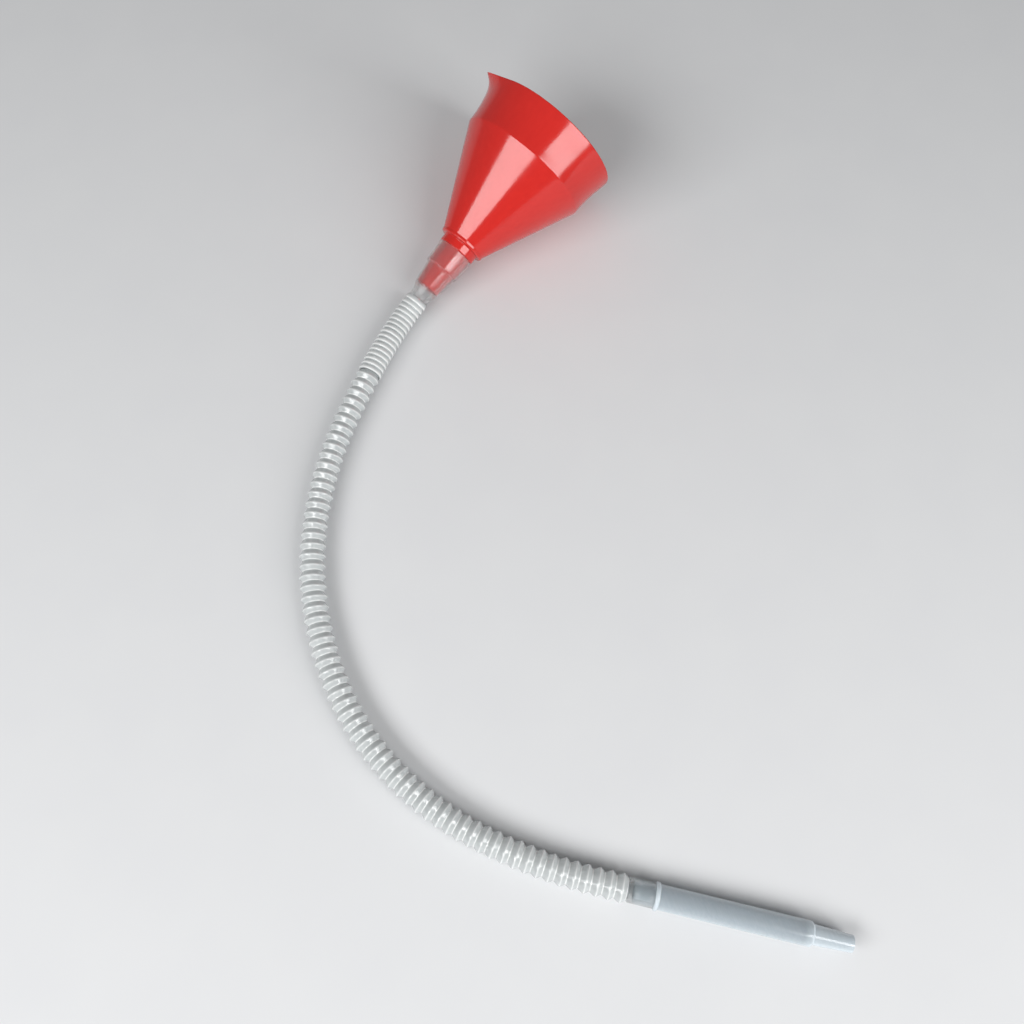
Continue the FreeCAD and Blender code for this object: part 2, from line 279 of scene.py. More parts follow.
def grid_object(name, points, material, milk=None):
    """A mesh from a grid of points, rows by columns. Rows and columns both close on themselves, so
    each cell of the grid is one face. All faces are turned outwards by the sign of the volume
    that they enclose. The milk, if any, has a value for each row."""
    rows, columns = points.shape[:2]
    index = np.arange(rows * columns).reshape(rows, columns)
    down = np.roll(index, -1, axis=0)
    corners = [index, down, np.roll(down, -1, axis=1), np.roll(index, -1, axis=1)]
    faces = np.stack(corners, axis=-1).reshape(-1, 4)
    flat = points.reshape(-1, 3)
    quad = flat[faces]
    volume = np.einsum("ij,ij->", quad[:, 0], np.cross(quad[:, 1], quad[:, 2]))
    volume += np.einsum("ij,ij->", quad[:, 0], np.cross(quad[:, 2], quad[:, 3]))
    if volume < 0:
        faces = faces[:, ::-1]
    made = smooth_object(name, flat, faces.tolist(), material)
    if milk is not None:
        layer = made.data.attributes.new("milk", "FLOAT", "POINT")
        layer.data.foreach_set("value", np.repeat(milk, columns).astype(np.float32))
    return made


def turned_points(outline, columns, placed):
    """Grid of a turned surface: each outline point (radius, level) goes round the axis, as
    (radius cos a, radius sin a, level), and is then laid in its seat."""
    turn = np.arange(columns) * FULL_TURN / columns
    radius = outline[:, 0, None] * MM
    level = np.broadcast_to(outline[:, 1, None] * MM, (len(outline), columns))
    local = np.stack([radius * np.cos(turn), radius * np.sin(turn), level], axis=-1)
    return local @ placed[0].T + placed[1]


def smooth_line(corners):
    """Points along the NURBS spline whose control points are the corners."""
    curve = bpy.data.curves.new("route", "CURVE")
    curve.dimensions = "3D"
    spline = curve.splines.new("NURBS")
    spline.points.add(len(corners) - 1)
    spline.points.foreach_set("co", np.c_[corners, np.ones(len(corners))].ravel())
    spline.order_u = 3
    spline.use_endpoint_u = True
    spline.resolution_u = 16
    curve.resolution_u = 16
    holder = bpy.data.objects.new("route", curve)
    bpy.context.scene.collection.objects.link(holder)
    bpy.context.view_layer.update()
    mesh = bpy.data.meshes.new_from_object(holder)
    line = np.zeros(len(mesh.vertices) * 3)
    mesh.vertices.foreach_get("co", line)
    bpy.data.objects.remove(holder)
    bpy.data.curves.remove(curve)
    bpy.data.meshes.remove(mesh)
    return line.reshape(-1, 3)


def travelled(line):
    """Length along the line at each of its points."""
    return np.concatenate([[0], np.cumsum(np.linalg.norm(np.diff(line, axis=0), axis=1))])


def swept_points(line, along, radius, columns):
    """Grid of a round section carried along a line. At each length along it, the ring's centre and
    heading are read from the line, and the ring's points are the centre plus the radius times
    (sideways cos a + upwards sin a)."""
    length = travelled(line)
    heading = np.gradient(line, length, axis=0)
    centre = np.stack([np.interp(along, length, line[:, i]) for i in range(3)], axis=1)
    ahead = np.stack([np.interp(along, length, heading[:, i]) for i in range(3)], axis=1)
    ahead /= np.linalg.norm(ahead, axis=1)[:, None]
    side = np.cross(UP, ahead)
    side /= np.linalg.norm(side, axis=1)[:, None]
    above = np.cross(ahead, side)
    turn = (np.arange(columns) * FULL_TURN / columns)[None, :, None]
    ring = side[:, None, :] * np.cos(turn) + above[:, None, :] * np.sin(turn)
    return centre[:, None, :] + ring * radius[:, None, None]


def bellows(name, line, start, end, count, fold, depth, wall, columns, material):
    """Bellows along a stretch of a line. The fold's outline, repeated count times, gives the outer
    radius and the milk at each length. The same outline one wall further in gives the bore."""
    fold = np.array(fold)
    share = ((np.arange(count)[:, None] + fold[None, :, 0]) / count).ravel()
    share = np.append(share, 1.0)
    height = np.append(np.tile(fold[:, 1], count), fold[0, 1])
    milk = np.append(np.tile(fold[:, 2], count), fold[0, 2])
    along = start + share * (end - start)
    outer = (CREST - depth * (1 - height)) * MM
    radius = np.concatenate([outer, outer[::-1] - wall * MM])
    stations = np.concatenate([along, along[::-1]])
    points = swept_points(line, stations, radius, columns)
    return grid_object(name, points, material, np.concatenate([milk, milk[::-1]]))


# --- Finishes ---


def linear(code):
    """An sRGB hex colour as the linear colour that shaders take."""
    part = [int(code[i:i + 2], 16) / 255 for i in (1, 3, 5)]
    light = [c / 12.92 if c <= 0.04045 else ((c + 0.055) / 1.055) ** 2.4 for c in part]
    return (*light, 1.0)


def add(tree, kind, inputs=None, **settings):
    """Adds a node with its settings. Each input takes a value or the output that feeds it."""
    made = tree.nodes.new("ShaderNode" + kind)
    for key, value in settings.items():
        setattr(made, key, value)
    for key, value in (inputs or {}).items():
        if isinstance(value, bpy.types.NodeSocket):
            tree.links.new(value, made.inputs[key])
        else:
            made.inputs[key].default_value = value
    return made


def per_metre(millimetres):
    """Noise scale for a pattern whose features are that far apart, on metre coordinates."""
    return 1000.0 / millimetres


def red_polypropylene(tree, looks):
    """Injection-moulded polypropylene, pigmented red, from a polished mould. It is a glossy skin
    with an even colour, a faint orange peel and flow streaks that run nearly along the axis."""
    spot = add(tree, "TexCoord").outputs["Object"]
    tilt = math.asin(JOINTS["bowl_pull"]["axis"][2])
    axial = add(tree, "Mapping", {
        "Vector": spot, "Rotation": (0, tilt, 0), "Scale": (0.05, 1, 1),
    }).outputs["Vector"]
    # Flow streaks are 4 mm apart across the flow and twenty times as long.
    streak = add(tree, "TexNoise", {
        "Vector": axial, "Scale": per_metre(4), "Detail": 3.0, "Roughness": 0.5,
    }).outputs["Fac"]
    # Pigment clouds are about 30 mm across.
    cloud = add(tree, "TexNoise", {
        "Vector": spot, "Scale": per_metre(30), "Detail": 2.0,
    }).outputs["Fac"]
    # Orange peel is about 1.2 mm across, and 2 mm here, so that it shows.
    peel = add(tree, "TexNoise", {
        "Vector": spot, "Scale": per_metre(2), "Detail": 1.0,
    }).outputs["Fac"]
    shade = add(tree, "MapRange", {
        "Value": streak, "From Min": 0.3, "From Max": 0.7, "To Min": 0.0, "To Max": 0.35,
    }).outputs["Result"]
    both = add(tree, "Math", {0: shade, 1: cloud}, operation="MULTIPLY").outputs["Value"]
    colour = add(tree, "Mix", {
        0: both, 6: tuple(looks.bowl_colour), 7: tuple(looks.bowl_shade),
    }, data_type="RGBA").outputs[2]
    rough = add(tree, "MapRange", {
        "Value": cloud, "From Min": 0.3, "From Max": 0.7, "To Min": 0.11, "To Max": 0.17,
    }).outputs["Result"]
    ripple = add(tree, "Bump", {
        "Height": peel, "Strength": 0.05, "Distance": 0.0002,
    }).outputs["Normal"]
    skin = add(tree, "Bump", {
        "Height": streak, "Strength": 0.03, "Distance": 0.0003, "Normal": ripple,
    }).outputs["Normal"]
    surface = add(tree, "BsdfPrincipled", {
        "Base Color": colour, "Roughness": rough, "IOR": 1.60, "Normal": skin,
        "Subsurface Weight": 0.06, "Subsurface Scale": 0.002,
    }).outputs["BSDF"]
    add(tree, "OutputMaterial", {"Surface": surface})


def natural_polyethylene(tree, looks):
    """Blow-moulded natural low-density polyethylene. It is milky and waxy: it lets a blurred light
    through its flats, and its folded crests scatter more light and look whiter."""
    spot = add(tree, "TexCoord").outputs["Object"]
    milk = add(tree, "Attribute", attribute_name="milk").outputs["Fac"]
    # The wall's thickness drifts over about 25 mm.
    drift = add(tree, "TexNoise", {
        "Vector": spot, "Scale": per_metre(25), "Detail": 2.0,
    }).outputs["Fac"]
    # The mould's blasted grain is about 0.3 mm, and 1 mm here, so that it shows.
    grain = add(tree, "TexNoise", {
        "Vector": spot, "Scale": per_metre(1), "Detail": 2.0,
    }).outputs["Fac"]
    # A wall seen along its length is a longer way through, so its rim is milkier.
    edge = add(tree, "LayerWeight", {"Blend": 0.35}).outputs["Facing"]
    rim = add(tree, "Math", {0: edge, 1: 0.15}, operation="MULTIPLY").outputs["Value"]
    haze = add(tree, "Math", {0: milk, 1: rim}, operation="ADD").outputs["Value"]
    whiter = add(tree, "MapRange", {
        "Value": milk, "From Min": 0.7, "From Max": 1.0, "To Min": 0.0, "To Max": 1.0,
    }).outputs["Result"]
    base = add(tree, "Mix", {
        0: drift, 6: tuple(looks.hose_colour), 7: tuple(looks.hose_shade),
    }, data_type="RGBA").outputs[2]
    colour = add(tree, "Mix", {
        0: whiter, 6: base, 7: tuple(looks.crest_colour),
    }, data_type="RGBA").outputs[2]
    clear = add(tree, "MapRange", {
        "Value": haze, "From Min": 0.0, "From Max": 1.0, "To Min": 0.86, "To Max": 0.0,
    }).outputs["Result"]
    cover = add(tree, "MapRange", {
        "Value": haze, "From Min": 0.0, "From Max": 1.0, "To Min": 0.36, "To Max": 1.0,
    }).outputs["Result"]
    rough = add(tree, "MapRange", {
        "Value": drift, "From Min": 0.3, "From Max": 0.7, "To Min": 0.10, "To Max": 0.15,
    }).outputs["Result"]
    skin = add(tree, "Bump", {
        "Height": grain, "Strength": 0.08, "Distance": 0.0002,
    }).outputs["Normal"]
    surface = add(tree, "BsdfPrincipled", {
        "Base Color": colour, "Roughness": rough, "IOR": 1.51, "Normal": skin,
        "Transmission Weight": clear, "Alpha": cover, "Specular IOR Level": 1.0,
        "Subsurface Weight": 0.3, "Subsurface Scale": 0.004,
        "Subsurface Radius": (1.0, 1.0, 1.0),
    }).outputs["BSDF"]
    add(tree, "OutputMaterial", {"Surface": surface})


def clear_polyethylene(tree, looks):
    """Extruded natural polyethylene tube. It is clearer than the bellows, with a bluish grey haze
    and fine die lines that run along it."""
    spot = add(tree, "TexCoord").outputs["Object"]
    heading = JOINTS["nozzle_pull"]["axis"]
    along = add(tree, "Mapping", {
        "Vector": spot, "Rotation": (0, 0, -math.atan2(heading[1], heading[0])),
    }, vector_type="TEXTURE").outputs["Vector"]
    stretched = add(tree, "Mapping", {
        "Vector": along, "Scale": (0.03, 1, 1),
    }).outputs["Vector"]
    # Die lines are about 0.4 mm apart, and 1.5 mm here, so that they show.
    lines = add(tree, "TexNoise", {
        "Vector": stretched, "Scale": per_metre(1.5), "Detail": 2.0,
    }).outputs["Fac"]
    cloud = add(tree, "TexNoise", {
        "Vector": spot, "Scale": per_metre(12), "Detail": 2.0,
    }).outputs["Fac"]
    milk = add(tree, "Attribute", attribute_name="milk").outputs["Fac"]
    # A wall seen along its length is a longer way through, so its rim is milkier.
    edge = add(tree, "LayerWeight", {"Blend": 0.35}).outputs["Facing"]
    haze = add(tree, "Math", {0: edge, 1: milk}, operation="ADD").outputs["Value"]
    clear = add(tree, "MapRange", {
        "Value": haze, "From Min": 0.0, "From Max": 0.8, "To Min": 0.48, "To Max": 0.0,
    }).outputs["Result"]
    cover = add(tree, "MapRange", {
        "Value": haze, "From Min": 0.0, "From Max": 0.8, "To Min": 0.74, "To Max": 1.0,
    }).outputs["Result"]
    colour = add(tree, "Mix", {
        0: lines, 6: tuple(looks.nozzle_colour), 7: tuple(looks.nozzle_shade),
    }, data_type="RGBA").outputs[2]
    rough = add(tree, "MapRange", {
        "Value": cloud, "From Min": 0.3, "From Max": 0.7, "To Min": 0.12, "To Max": 0.18,
    }).outputs["Result"]
    skin = add(tree, "Bump", {
        "Height": lines, "Strength": 0.08, "Distance": 0.0002,
    }).outputs["Normal"]
    surface = add(tree, "BsdfPrincipled", {
        "Base Color": colour, "Roughness": rough, "IOR": 1.51, "Normal": skin,
        "Transmission Weight": clear, "Alpha": cover, "Specular IOR Level": 0.9,
    }).outputs["BSDF"]
    add(tree, "OutputMaterial", {"Surface": surface})


def satin_polyethylene(tree, looks):
    """Injection-moulded off-white polyethylene with a fine spark-eroded grain, which gives a soft
    sheen and no sharp reflections."""
    spot = add(tree, "TexCoord").outputs["Object"]
    # The grain is about 0.2 mm, and 0.8 mm here, so that it shows.
    grain = add(tree, "TexNoise", {
        "Vector": spot, "Scale": per_metre(0.8), "Detail": 3.0,
    }).outputs["Fac"]
    cloud = add(tree, "TexNoise", {
        "Vector": spot, "Scale": per_metre(9), "Detail": 2.0,
    }).outputs["Fac"]
    colour = add(tree, "Mix", {
        0: cloud, 6: tuple(looks.strainer_colour), 7: tuple(looks.strainer_shade),
    }, data_type="RGBA").outputs[2]
    rough = add(tree, "MapRange", {
        "Value": cloud, "From Min": 0.3, "From Max": 0.7, "To Min": 0.38, "To Max": 0.48,
    }).outputs["Result"]
    skin = add(tree, "Bump", {
        "Height": grain, "Strength": 0.12, "Distance": 0.0002,
    }).outputs["Normal"]
    surface = add(tree, "BsdfPrincipled", {
        "Base Color": colour, "Roughness": rough, "IOR": 1.51, "Normal": skin,
    }).outputs["BSDF"]
    add(tree, "OutputMaterial", {"Surface": surface})


def drawn_brass(tree, looks):
    """Drawn brass wire, woven plain. It is a bright yellow metal with small dull spots of
    tarnish."""
    spot = add(tree, "TexCoord").outputs["Object"]
    tarnish = add(tree, "TexNoise", {
        "Vector": spot, "Scale": per_metre(2.5), "Detail": 3.0,
    }).outputs["Fac"]
    colour = add(tree, "Mix", {
        0: tarnish, 6: tuple(looks.wire_colour), 7: tuple(looks.wire_shade),
    }, data_type="RGBA").outputs[2]
    rough = add(tree, "MapRange", {
        "Value": tarnish, "From Min": 0.3, "From Max": 0.7, "To Min": 0.24, "To Max": 0.42,
    }).outputs["Result"]
    surface = add(tree, "BsdfPrincipled", {
        "Base Color": colour, "Roughness": rough, "Metallic": 1.0,
    }).outputs["BSDF"]
    add(tree, "OutputMaterial", {"Surface": surface})


def pale_floor(tree, looks):
    """Matt painted board. It has an even pale tone with a very faint mottle."""
    spot = add(tree, "TexCoord").outputs["Object"]
    mottle = add(tree, "TexNoise", {
        "Vector": spot, "Scale": per_metre(60), "Detail": 2.0,
    }).outputs["Fac"]
    colour = add(tree, "Mix", {
        0: mottle, 6: tuple(looks.floor_colour), 7: tuple(looks.floor_shade),
    }, data_type="RGBA").outputs[2]
    surface = add(tree, "BsdfPrincipled", {
        "Base Color": colour, "Roughness": 0.75,
    }).outputs["BSDF"]
    add(tree, "OutputMaterial", {"Surface": surface})


FINISHES = {
    "injection-moulded red polypropylene": red_polypropylene,
    "blow-moulded natural low-density polyethylene": natural_polyethylene,
    "extruded natural polyethylene": clear_polyethylene,
    "injection-moulded off-white polyethylene": satin_polyethylene,
    "drawn brass wire": drawn_brass,
    "matt painted board": pale_floor,
}


def finish(name):
    """The named finish, made once and then used again."""
    material = bpy.data.materials.get(name)
    if material is None:
        material = bpy.data.materials.new(name)
        material.use_nodes = True
        material.node_tree.nodes.clear()
        FINISHES[name](material.node_tree, bpy.context.scene.funnel_finishes)
    return material


# --- Settings ---


def colour_property(name, description, code):
    """A colour that a user can change, with its hex default."""
    return FloatVectorProperty(
        name=name, description=description, subtype="COLOR", size=4, min=0, max=1,
        default=linear(code),
    )


class FunnelFinishes(bpy.types.PropertyGroup):
    """Colours of the funnel's finishes."""

    bowl_colour: colour_property("Bowl", "Red of the bowl", "#D0261F")
    bowl_shade: colour_property("Bowl shade", "Red of the bowl's flow streaks", "#B51713")
    hose_colour: colour_property("Hose", "Milky white of the bellows", "#EDF1F1")
    hose_shade: colour_property("Hose shade", "Tone of the hose's thin spots", "#DFE5E6")
    crest_colour: colour_property("Crest", "White of the folded crests", "#FAFCFB")
    nozzle_colour: colour_property("Nozzle", "Haze of the nozzle", "#DDE6EC")
    nozzle_shade: colour_property("Nozzle shade", "Tone of its die lines", "#C8D4DC")
    strainer_colour: colour_property("Strainer", "Off-white of the strainer", "#ECEAE2")
    strainer_shade: colour_property("Strainer shade", "Its darker clouds", "#DDDBD2")
    wire_colour: colour_property("Wire", "Brass of the gauze", "#DDB671")
    wire_shade: colour_property("Wire shade", "Tarnish of the gauze", "#A67C42")
    floor_colour: colour_property("Floor", "Floor", "#DEDFE0")
    floor_shade: colour_property("Floor shade", "Floor's mottle", "#DADBDD")


class FunnelSizes(bpy.types.PropertyGroup):
    """How finely the funnel's surfaces are cut."""

    bowl_columns: IntProperty(
        name="Bowl columns", description="Faces round the bowl", default=256, min=48,
    )
    tube_columns: IntProperty(
        name="Tube columns", description="Faces round the hose and nozzle", default=40, min=16,
    )
    wire_columns: IntProperty(
        name="Wire columns", description="Faces round a wire of the gauze", default=5, min=4,
    )


class FunnelStudio(bpy.types.PropertyGroup):
    """Camera and soft boxes."""

    lens: FloatProperty(
        name="Lens", description="Focal length on a 36 mm sensor", default=35.0,
        unit="CAMERA",
    )
    distance: FloatProperty(
        name="Distance", description="From the camera to the spot it looks at",
        default=0.830, unit="LENGTH",
    )
    heading: FloatProperty(
        name="Heading", description="Turn of the view about the vertical",
        default=math.radians(-49.27), subtype="ANGLE",
    )
    dip: FloatProperty(
        name="Dip", description="Angle of the view below the horizon",
        default=math.radians(70.1), subtype="ANGLE",
    )
    softbox_strength: FloatProperty(
        name="Soft box strength", description="Power of a soft box per square metre",
        default=19.0,
    )
    ambient: FloatProperty(
        name="Ambient", description="Strength of the light all round", default=0.22, min=0,
    )


# --- Pieces ---


def ride_and_stand(piece, body, slot, *nodes):
    """The piece moves with a body and stands for CAD nodes. The slot is not used."""
    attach(piece, body)
    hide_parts(*nodes)


def closed_line():
    """Line of the closed bellows, from the socket's end to the open hose. Its lead lies where the
    bowl's axis comes down to the hose's level, which is where the neck bends."""
    turn, origin = bowl_seat()
    end = origin + turn[:, 2] * SOCKET_END * MM
    lead = np.array(JOINTS["neck_bend"]["pos_m"])
    bend = np.array([CLOSED_BEND[0] * MM, CLOSED_BEND[1] * MM, HOSE_LEVEL * MM])
    start = np.array([ROUTE[0][0] * MM, ROUTE[0][1] * MM, HOSE_LEVEL * MM])
    return smooth_line(np.stack([end, lead, bend, start]))


class FUNNEL_OT_closed_bellows(bpy.types.Operator):
    """Builds the closed bellows behind the socket in three pieces, split at their joints"""

    bl_idname = "funnel.closed_bellows"
    bl_label = "Closed bellows"

    def execute(self, context):
        line = closed_line()
        length = travelled(line)
        marks = np.cumsum((0,) + CLOSED_COUNTS) / sum(CLOSED_COUNTS) * length[-1]
        names = ("neck_bellows", "middle_bellows", "stretch_bellows")
        made = []
        for i, name in enumerate(names):
            piece = bellows(
                "closed_" + name, line, marks[i], marks[i + 1], CLOSED_COUNTS[i],
                CLOSED_FOLD, CLOSED_DEPTH, CLOSED_WALL,
                context.scene.funnel_sizes.tube_columns,
                finish("blow-moulded natural low-density polyethylene"),
            )
            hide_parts(name)
            made.append(piece)
        neck, middle, stretch = made
        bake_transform(neck)
        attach(middle, "spout_middle")
        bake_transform(stretch)
        return {"FINISHED"}


class FUNNEL_OT_nozzle(bpy.types.Operator):
    """Builds the hose's end cuff and the nozzle plugged into it"""

    bl_idname = "funnel.nozzle"
    bl_label = "Cuff and nozzle"

    def execute(self, context):
        columns = context.scene.funnel_sizes.tube_columns
        root = CREST - OPEN_DEPTH
        bore = CUFF_RADIUS - NOZZLE_WALL
        cuff_outline = filled(rounded([
            (root - OPEN_WALL, 0, 0), (root, 0, 0), (CUFF_RADIUS, CUFF_FLARE, STEP_ROUND),
            (CUFF_RADIUS, CUFF_LENGTH, MOUTH_ROUND), (bore, CUFF_LENGTH, FINE_ROUND),
            (bore, CUFF_FLARE, STEP_ROUND),
        ]), TUBE_LONGEST_RUN)
        cuff = grid_object(
            "end_cuff_tube", turned_points(cuff_outline, columns, nozzle_seat()),
            finish("blow-moulded natural low-density polyethylene"),
            np.zeros(len(cuff_outline)),
        )
        ride_and_stand(cuff, "spout_end", "natural_pe", "end_cuff")
        spigot = bore - SPIGOT_CLEARANCE
        bead_top = CUFF_LENGTH + BEAD[1]
        outline = filled(rounded([
            (spigot - NOZZLE_WALL, SPIGOT_START, 0), (spigot, SPIGOT_START, 0),
            (spigot, CUFF_LENGTH, 0), (BEAD[0], CUFF_LENGTH, BEAD_ROUND),
            (BEAD[0], bead_top, BEAD_ROUND), (CUFF_RADIUS, bead_top, EDGE_ROUND),
            (CUFF_RADIUS, NOZZLE_STEP, STEP_ROUND),
            (TIP[0], NOZZLE_STEP + TIP_SHOULDER, TIP_ROUND), (TIP[1], NOZZLE_END, MOUTH_ROUND),
            (TIP[1] - NOZZLE_WALL, NOZZLE_END, MOUTH_ROUND),
            (TIP[0] - NOZZLE_WALL, NOZZLE_STEP + TIP_SHOULDER, TIP_ROUND),
            (bore, NOZZLE_STEP - TIP_SHOULDER, STEP_ROUND), (bore, bead_top, 0),
            (spigot - NOZZLE_WALL, CUFF_LENGTH, 0),
        ]), TUBE_LONGEST_RUN)
        # The folded bead is white, and the drawn-down tip is a little milkier than the tube.
        radius, level = outline.T
        slack = 0.1
        bead = (np.abs(level - (CUFF_LENGTH + bead_top) / 2) < BEAD[1] / 2 + slack) & (
            radius > CUFF_RADIUS + slack)
        tip = TIP_MILK * (level > NOZZLE_STEP - STEP_ROUND)
        piece = grid_object(
            "nozzle_tube", turned_points(outline, columns, nozzle_seat()),
            finish("extruded natural polyethylene"), np.maximum(bead, tip),
        )
        ride_and_stand(piece, "nozzle", "nozzle_pe", "nozzle")
        return {"FINISHED"}


class FUNNEL_OT_open_hose(bpy.types.Operator):
    bl_idname = "funnel.open_hose"
    bl_label = "Open hose"

    def execute(self, context):
        route = np.array(ROUTE, float) * MM
        line = smooth_line(np.c_[route, np.full(len(route), HOSE_LEVEL * MM)])
        length = travelled(line)[-1]
        hose = bellows(
            "open_hose", line, 0.0, length, OPEN_COUNT, OPEN_FOLD, OPEN_DEPTH, OPEN_WALL,
            context.scene.funnel_sizes.tube_columns,
            finish("blow-moulded natural low-density polyethylene"),
        )
        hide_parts("hose_upper", "hose_bend", "hose_lower")
        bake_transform(hose)
        return {"FINISHED"}


class FUNNEL_OT_socket(bpy.types.Operator):
    """Builds the two-stage socket over the bowl's stem"""

    bl_idname = "funnel.socket"
    bl_label = "Socket"

    def execute(self, context):
        columns = context.scene.funnel_sizes.tube_columns * 2
        upper = [radius + SOCKET_CLEARANCE for radius in STEM_UPPER]
        lower = [radius + SOCKET_CLEARANCE for radius in STEM_LOWER]
        top = -SOCKET_GAP
        step = STEM_STEP - SOCKET_GAP
        stem_end = STEM_END - SOCKET_GAP
        wall = SOCKET_WALL
        collar, collar_height = SOCKET_COLLAR
        root = CREST - CLOSED_DEPTH
        outline = filled(rounded([
            (upper[0], top, FINE_ROUND), (upper[1], step, FINE_ROUND),
            (lower[0], step, FINE_ROUND), (lower[1], stem_end, SOCKET_BORE_ROUND),
            (SOCKET_NECK[1] - wall, SOCKET_END + SOCKET_BORE_RISE, SOCKET_BORE_ROUND),
            (root - CLOSED_WALL, SOCKET_END, 0), (root, SOCKET_END, 0),
            (SOCKET_NECK[1], SOCKET_END + SOCKET_NECK_RISE[1], STEP_ROUND),
            (SOCKET_NECK[0], SOCKET_END + SOCKET_NECK_RISE[0], SOCKET_NECK_ROUND),
            (lower[1] + wall, stem_end, SOCKET_TAPER_ROUND),
            (lower[0] + wall, step - wall, SOCKET_ROUND),
            (upper[1] + wall, step - wall, SOCKET_ROUND),
            (upper[0] + wall, top - collar_height - collar, FINE_ROUND),
            (upper[0] + wall + collar, top - collar_height, FINE_ROUND),
            (upper[0] + wall + collar, top, EDGE_ROUND),
        ]), SOCKET_LONGEST_RUN)
        piece = grid_object(
            "socket_sleeve", turned_points(outline, columns, bowl_seat()),
            finish("blow-moulded natural low-density polyethylene"), np.zeros(len(outline)),
        )
        ride_and_stand(piece, "spout_neck", "natural_pe", "spout_socket")
        return {"FINISHED"}


def ear_reach(turn):
    """How far the lip's plan stands out past its circle at each angle. Two straight lines run from
    the ear's tip and touch the circle, so within their spread the radius is the lip's divided by
    the cosine of the angle that is left to the touching point."""
    spread = math.acos(LIP[0] / (LIP[0] + EAR_REACH))
    away = np.abs((turn - EAR_TURN + math.pi) % FULL_TURN - math.pi)
    away = np.sqrt(away ** 2 + EAR_TIP_SOFTNESS ** 2)
    return np.where(away < spread, LIP[0] / np.cos(spread - away) - LIP[0], 0.0)


class FUNNEL_OT_bowl(bpy.types.Operator):
    """Builds the bowl with its stem, neck ring, shoulder, lip and ear"""

    bl_idname = "funnel.bowl"
    bl_label = "Bowl"

    def outline(self):
        """Closed outline of the wall: its outer corners from the stem's tip to the lip, and the
        same corners one wall further in on the way back, with their rounds."""
        soft = EDGE_ROUND
        corners = [
            (STEM_LOWER[1], STEM_END), (STEM_LOWER[0], STEM_STEP), (STEM_UPPER[1], STEM_STEP),
            (STEM_UPPER[0], 0), (NECK[0], 0), NECK, (FOOT[0], NECK[1]), FOOT, SHOULDER,
            WALL_TOP, LIP,
        ]
        outer_round = [
            RIM_ROUND, soft, soft, NOTCH_ROUND, soft, soft, WALL, FOOT_ROUND, SHOULDER_ROUND,
            LIP_ROUND, RIM_ROUND,
        ]
        inner_round = [
            RIM_ROUND, soft, 0, soft, NOTCH_ROUND, 0, 0, FOOT_ROUND / 2,
            SHOULDER_ROUND - WALL, LIP_ROUND + WALL, RIM_ROUND,
        ]
        outer = np.c_[corners, outer_round]
        inner = np.c_[inset(corners, WALL), inner_round]
        closed = rounded(np.concatenate([outer, inner[::-1]]), steps=7)
        return filled(closed, BOWL_LONGEST_RUN)

    def execute(self, context):
        """The wall's outline goes round the axis. Near the lip, the share of the way up the fillet
        is turned into a quarter turn, whose cosine carries the wall out to the ear and whose sine
        carries it up, as far as the ear reaches at that angle."""
        columns = context.scene.funnel_sizes.bowl_columns
        outline = self.outline()
        turn = np.arange(columns) * FULL_TURN / columns
        reach = ear_reach(turn)[None, :]
        share_of_ear = reach / EAR_REACH
        radius = outline[:, 0, None]
        level = outline[:, 1, None]
        foot = LIP[1] - EAR_FILLET
        rise = np.clip((level - foot) / EAR_FILLET, 0, 1)
        quarter = rise * math.pi / 2
        out = reach * (1 - np.cos(quarter))
        lift = share_of_ear * EAR_FILLET * (np.sin(quarter) - rise)
        radius = (radius + out) * MM
        level = (level + lift) * MM
        local = np.stack([radius * np.cos(turn), radius * np.sin(turn), level], axis=-1)
        rotation, origin = bowl_seat()
        piece = grid_object(
            "bowl_moulding", local @ rotation.T + origin,
            finish("injection-moulded red polypropylene"),
        )
        ride_and_stand(piece, "bowl", "red_plastic", "funnel_bowl")
        return {"FINISHED"}


class FUNNEL_OT_strainer(bpy.types.Operator):
    """Gives the strainer's ring its finish and weaves the gauze in it"""

    bl_idname = "funnel.strainer"
    bl_label = "Strainer"

    def execute(self, context):
        ring = frame["nodes"]["strainer_ring"]
        ring.data.materials.clear()
        ring.data.materials.append(finish("injection-moulded off-white polyethylene"))
        gauze = weave(finish("drawn brass wire"), context.scene.funnel_sizes.wire_columns)
        ride_and_stand(gauze, "strainer", "gauze_wire", "strainer_gauze")
        return {"FINISHED"}


